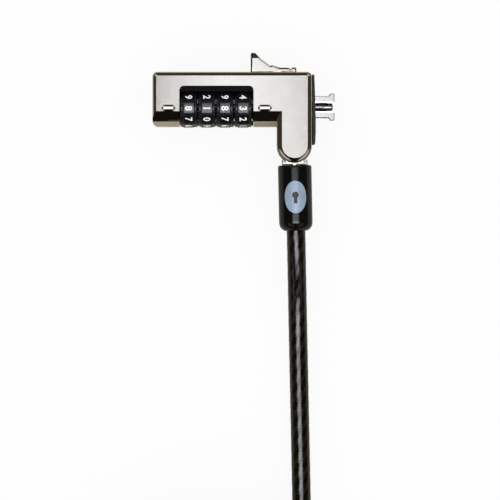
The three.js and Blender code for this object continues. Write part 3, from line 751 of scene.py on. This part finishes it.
refined("housing_front", NICKEL, "head", 0.06 * MM, 2, 12)
refined("back_cover", NICKEL, "head", 0.15 * MM, 2, 40)
refined("thumb_lever", NICKEL, "slider", 0.06 * MM, 2, 12)
refined("anchor_block", BRIGHT_STEEL, "anchor", 0.04 * MM, 2, 20, 0.2 * MM)
refined("nose_pad", PAD_RUBBER, "head", 0.2 * MM, 2, 30)
refined("hook_upper", BRIGHT_STEEL, "hook_up", 0.03 * MM, 2, 20, 0.24 * MM)
refined("hook_lower", BRIGHT_STEEL, "hook_low", 0.03 * MM, 2, 20, 0.24 * MM)
refined("wheel_frame", LINER_BLACK, "head", 0.08 * MM, 2, 40)

# The return spring, with a mesh of its own.
spring = refined("return_spring", PLAIN_STEEL, "head", 0)
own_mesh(spring)


def locking_blade():
    """The locking pin: a narrow flat top with slanted sides, a little wider before its tip."""
    at = middle("locking_pin")
    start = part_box("locking_pin")[0].x / MM
    shoulder_share = 0.42
    # Place along the lock, half width, half height and half the flat top's width.
    stations = [
        (start, 1.1, 1.05, 0.3), (6.0, 1.15, 1.05, 0.3), (8.0, 1.22, 1.05, 0.3),
        (9.0, 1.28, 1.05, 0.3), (9.7, 1.1, 1.05, 0.3), (10.8, 1.08, 1.05, 0.3),
        (11.1, 0.85, 0.75, 0.25), (11.2, 0.6, 0.5, 0.2),
    ]
    verts = []
    for x, half, height, ridge in stations:
        shoulder = shoulder_share * height
        side = [(ridge, height), (half, shoulder), (half, -shoulder), (ridge, -height)]
        section = side + [(-y, -z) for y, z in side]
        verts.extend((x * MM, at.y + y * MM, at.z + z * MM) for y, z in section)
    faces = grid(len(stations), len(section))
    obj = made("locking_pin_finish", verts, faces, BLACK_STEEL_AND_PAINTED_SHADE, "slider")
    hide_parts("locking_pin")
    soften(obj, 0.04 * MM, 2, 12)


locking_blade()


# ---- Number wheels ----

READING = (8, 1, 8, 3)
TILT = math.radians(3)
WHEEL_AXIS_Z = JOINTS["wheel_1_turn"]["pos_m"][2] / MM
FACET = 5.47
RIB = 5.82
DIP = 5.62
BORE = 3.55
HALF_WIDTH = 2.54


def wheel_angle(index):
    """Angle of a number's facet from straight up, towards +Y."""
    return math.radians(36) * index - TILT


def wheel_outline(rib):
    """One ring of the raised band: ten flats with a rib between each two."""
    points = []
    for k in range(10):
        middle_angle = wheel_angle(k)
        for offset in (-1.2, 0.0, 1.2):
            a = math.atan2(offset, FACET)
            points.append((math.hypot(offset, FACET), middle_angle + a))
        for degrees, radius in ((14.3, DIP), (16.0, rib), (20.0, rib), (21.7, DIP)):
            points.append((radius, middle_angle + math.radians(degrees)))
    return points


def ring(points, x, centre_x, scale=1.0):
    """A wheel's outline at a place along its axis."""
    verts = []
    for radius, angle in points:
        y = radius * scale * math.sin(angle)
        z = WHEEL_AXIS_Z + radius * scale * math.cos(angle)
        verts.append(((centre_x + x) * MM, y * MM, z * MM))
    return verts


def number_wheel(number):
    """A wheel with round shoulders and a raised band of toothed ribs; returns its centre."""
    centre = middle(f"number_wheel_{number}").x / MM
    sides = len(wheel_outline(RIB))
    round_ring = [(1.0, 2 * math.pi * i / sides + wheel_angle(0)) for i in range(sides)]
    verts = []

    def round_at(radius, x):
        verts.extend(ring(round_ring, x, centre, radius))

    shoulder = [(BORE, HALF_WIDTH), (4.9, HALF_WIDTH), (5.13, 2.50), (5.29, 2.38), (5.37, 2.2),
                (5.4, 1.98), (5.4, 1.82), (5.35, 1.76)]
    for radius, x in shoulder:
        round_at(radius, -x)
    slices = [(-1.70, 5.2, 0.965), (-1.6, RIB - 0.1, 0.985)]
    for x, rib, scale in slices:
        verts.extend(ring(wheel_outline(rib), x, centre, scale))
    teeth = 7
    half_band = 1.5
    pitch = 2 * half_band / teeth
    for i in range(teeth):
        start = -half_band + i * pitch
        for x, rib in ((0.04, RIB), (pitch * 0.6, RIB), (pitch * 0.68, DIP), (pitch * 0.96, DIP)):
            verts.extend(ring(wheel_outline(rib), start + x, centre))
    verts.extend(ring(wheel_outline(RIB), half_band, centre))
    for x, rib, scale in reversed(slices):
        verts.extend(ring(wheel_outline(rib), -x, centre, scale))
    for radius, x in reversed(shoulder):
        round_at(radius, x)
    round_at(BORE, HALF_WIDTH - 1e-3)
    rows = len(verts) // sides
    faces = grid(rows, sides, closed_rows=True)
    name = f"number_wheel_{number}_finish"
    obj = made(name, verts, faces, WHEEL_BLACK, f"wheel_{number}")
    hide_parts(f"number_wheel_{number}")
    for edge in obj.data.edges:
        edge.use_edge_sharp = False
    soften(obj, 0)
    return centre


def digit_mesh(character):
    """One digit as a thin raised solid, about one unit high and centred."""
    curve = bpy.data.curves.new("digit", "FONT")
    curve.body = character
    curve.align_x = "CENTER"
    curve.align_y = "CENTER"
    curve.offset = 0.022
    curve.extrude = 0.5
    curve.resolution_u = 5
    holder = link("digit", curve)
    bpy.context.view_layer.update()
    evaluated = holder.evaluated_get(bpy.context.evaluated_depsgraph_get())
    mesh = bpy.data.meshes.new_from_object(evaluated)
    bpy.data.objects.remove(holder)
    bpy.data.curves.remove(curve)
    verts = np.array([v.co for v in mesh.vertices])
    faces = [tuple(p.vertices) for p in mesh.polygons]
    bpy.data.meshes.remove(mesh)
    low, high = verts.min(axis=0), verts.max(axis=0)
    verts[:, :2] -= (low[:2] + high[:2]) / 2
    verts[:, :2] /= high[1] - low[1]
    verts[:, 2] = np.where(verts[:, 2] > 0, 1.0, 0.0)
    return verts, faces


DIGIT_SHAPES = {str(d): digit_mesh(str(d)) for d in range(10)}
DIGIT_HEIGHT = 2.1
DIGIT_WIDTH = 2.05
DIGIT_RELIEF = 0.03
DIGIT_ROOT = 0.01


def wheel_numbers(number, centre):
    """Ten raised white numbers whose tops point along +X."""
    verts, faces = [], []
    for k in range(10):
        shape, shape_faces = DIGIT_SHAPES[str((READING[number - 1] + k) % 10)]
        angle = wheel_angle(k)
        up = np.array([0.0, math.sin(angle), math.cos(angle)])
        side = np.array([0.0, math.cos(angle), -math.sin(angle)])
        base = len(verts)
        for u, v, w in shape:
            out = FACET - DIGIT_ROOT + w * (DIGIT_RELIEF + DIGIT_ROOT)
            point = np.array([centre + v * DIGIT_HEIGHT, 0.0, WHEEL_AXIS_Z])
            point = point + up * out - side * u * DIGIT_WIDTH
            verts.append(point * MM)
        faces.extend(tuple(base + i for i in face) for face in shape_faces)
    made(f"wheel_{number}_numbers", verts, faces, PRINT_WHITE, f"wheel_{number}", False)


for wheel in range(1, 5):
    wheel_numbers(wheel, number_wheel(wheel))


# ---- Sleeve and its mark ----

def from_anchor(x, y, along):
    """Places a point that turns about the cable's axis, at a distance below the pivot."""
    start = np.array([0.0, PIVOT.y / MM, CABLE_AXIS_Z / MM])
    down = np.array([math.sin(LEAN), -math.cos(LEAN), 0.0])
    across = np.array([math.cos(LEAN), math.sin(LEAN), 0.0])
    point = start + down * along + across * x + np.array([0.0, 0.0, 1.0]) * y
    return tuple(point * MM)


SLEEVE_RADIUS = 4.9
SLEEVE_PROFILE = [
    (1.6, 5.6), (4.3, 5.6), (4.58, 5.65), (4.79, 5.82), (4.88, 6.05), (SLEEVE_RADIUS, 6.3),
    (SLEEVE_RADIUS, 14.0), (SLEEVE_RADIUS, 21.8), (4.87, 22.5), (4.76, 23.1), (4.52, 23.65),
    (4.15, 24.1), (3.75, 24.42), (3.35, 24.64), (3.05, 24.7), (2.92, 24.6), (2.9, 24.2),
    (2.9, 19.0), (3.95, 19.0), (3.95, 6.9), (1.6, 6.9),
]


def cable_sleeve():
    """A turned sleeve with rounded ends and a wider bore round the crimp barrel."""
    sides = 72
    verts = lathe(SLEEVE_PROFILE, sides, from_anchor)
    faces = grid(len(SLEEVE_PROFILE), sides, closed_rows=True)
    obj = made("cable_sleeve_finish", verts, faces, SLEEVE_BLACK, "cable")
    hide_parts("cable_sleeve")
    soften(obj, 0)


def wrapped(u, along, lift):
    """A point on the sleeve, from a distance round it and a distance below the pivot."""
    angle = u / SLEEVE_RADIUS
    r = SLEEVE_RADIUS + lift
    return from_anchor(r * math.sin(angle), r * math.cos(angle), along)


def keyhole(t):
    """Radius of a keyhole outline in a direction, with 0 straight down."""
    hole = 0.95
    slot = 0.52
    reach = 2.5
    s, c = abs(math.sin(t)), math.cos(t)
    if c > 0 and s * reach < c * slot:
        return reach / c
    return max(hole, slot / s) if c > 0 else hole


def sleeve_mark():
    """A plain oval print with a keyhole left open in it."""
    mark_along = 14.9
    half_width, half_height = 3.35, 4.7
    keyhole_rise = 0.6
    count, rings = 96, 9
    verts, faces = [], []
    for lift in (0.006, 0.026):
        for i in range(count):
            t = 2 * math.pi * i / count
            outer = np.array([half_width * math.sin(t), half_height * math.cos(t)])
            r = keyhole(t)
            inner = np.array([r * math.sin(t), r * math.cos(t) - keyhole_rise])
            for k in range(rings):
                u, v = inner + (outer - inner) * k / (rings - 1)
                verts.append(wrapped(u, mark_along + v, lift))
    layer = rings * count
    last = rings - 1
    for i in range(count):
        a, b = rings * i, rings * ((i + 1) % count)
        for k in range(last):
            faces.append((a + k, b + k, b + k + 1, a + k + 1))
            faces.append((layer + a + k + 1, layer + b + k + 1, layer + b + k, layer + a + k))
        faces.append((a, layer + a, layer + b, b))
        faces.append((a + last, b + last, layer + b + last, layer + a + last))
    made("sleeve_mark", verts, faces, PRINT_BLUE, "cable", False)


cable_sleeve()
sleeve_mark()

# ---- Finishes of the CAD nodes that stay ----

# The spindle's dark steel is painted shade for the dark inside of the housing.
KEPT = {
    "detent_spring": BLACK_STEEL_AND_PAINTED_SHADE, "spindle": BLACK_STEEL_AND_PAINTED_SHADE, "carriage": PLAIN_STEEL,
    "spring_guide": PLAIN_STEEL, "hook_pin_upper": PLAIN_STEEL, "hook_pin_lower": PLAIN_STEEL,
    "pivot_pin": BRIGHT_STEEL, "swivel_stem": BRIGHT_STEEL, "cable_core": PLAIN_STEEL,
    "reset_screw": BRASS,
}
for number in range(1, 5):
    KEPT[f"cover_screw_{number}"] = PLAIN_STEEL
    # The clutch hubs' darkened brass is painted shade for the dark inside of the housing.
    KEPT[f"clutch_hub_{number}"] = BRASS_DARKENED_AS_SHADE
for node_name, finish in KEPT.items():
    NODES[node_name].data.materials.clear()
    NODES[node_name].data.materials.append(finish)
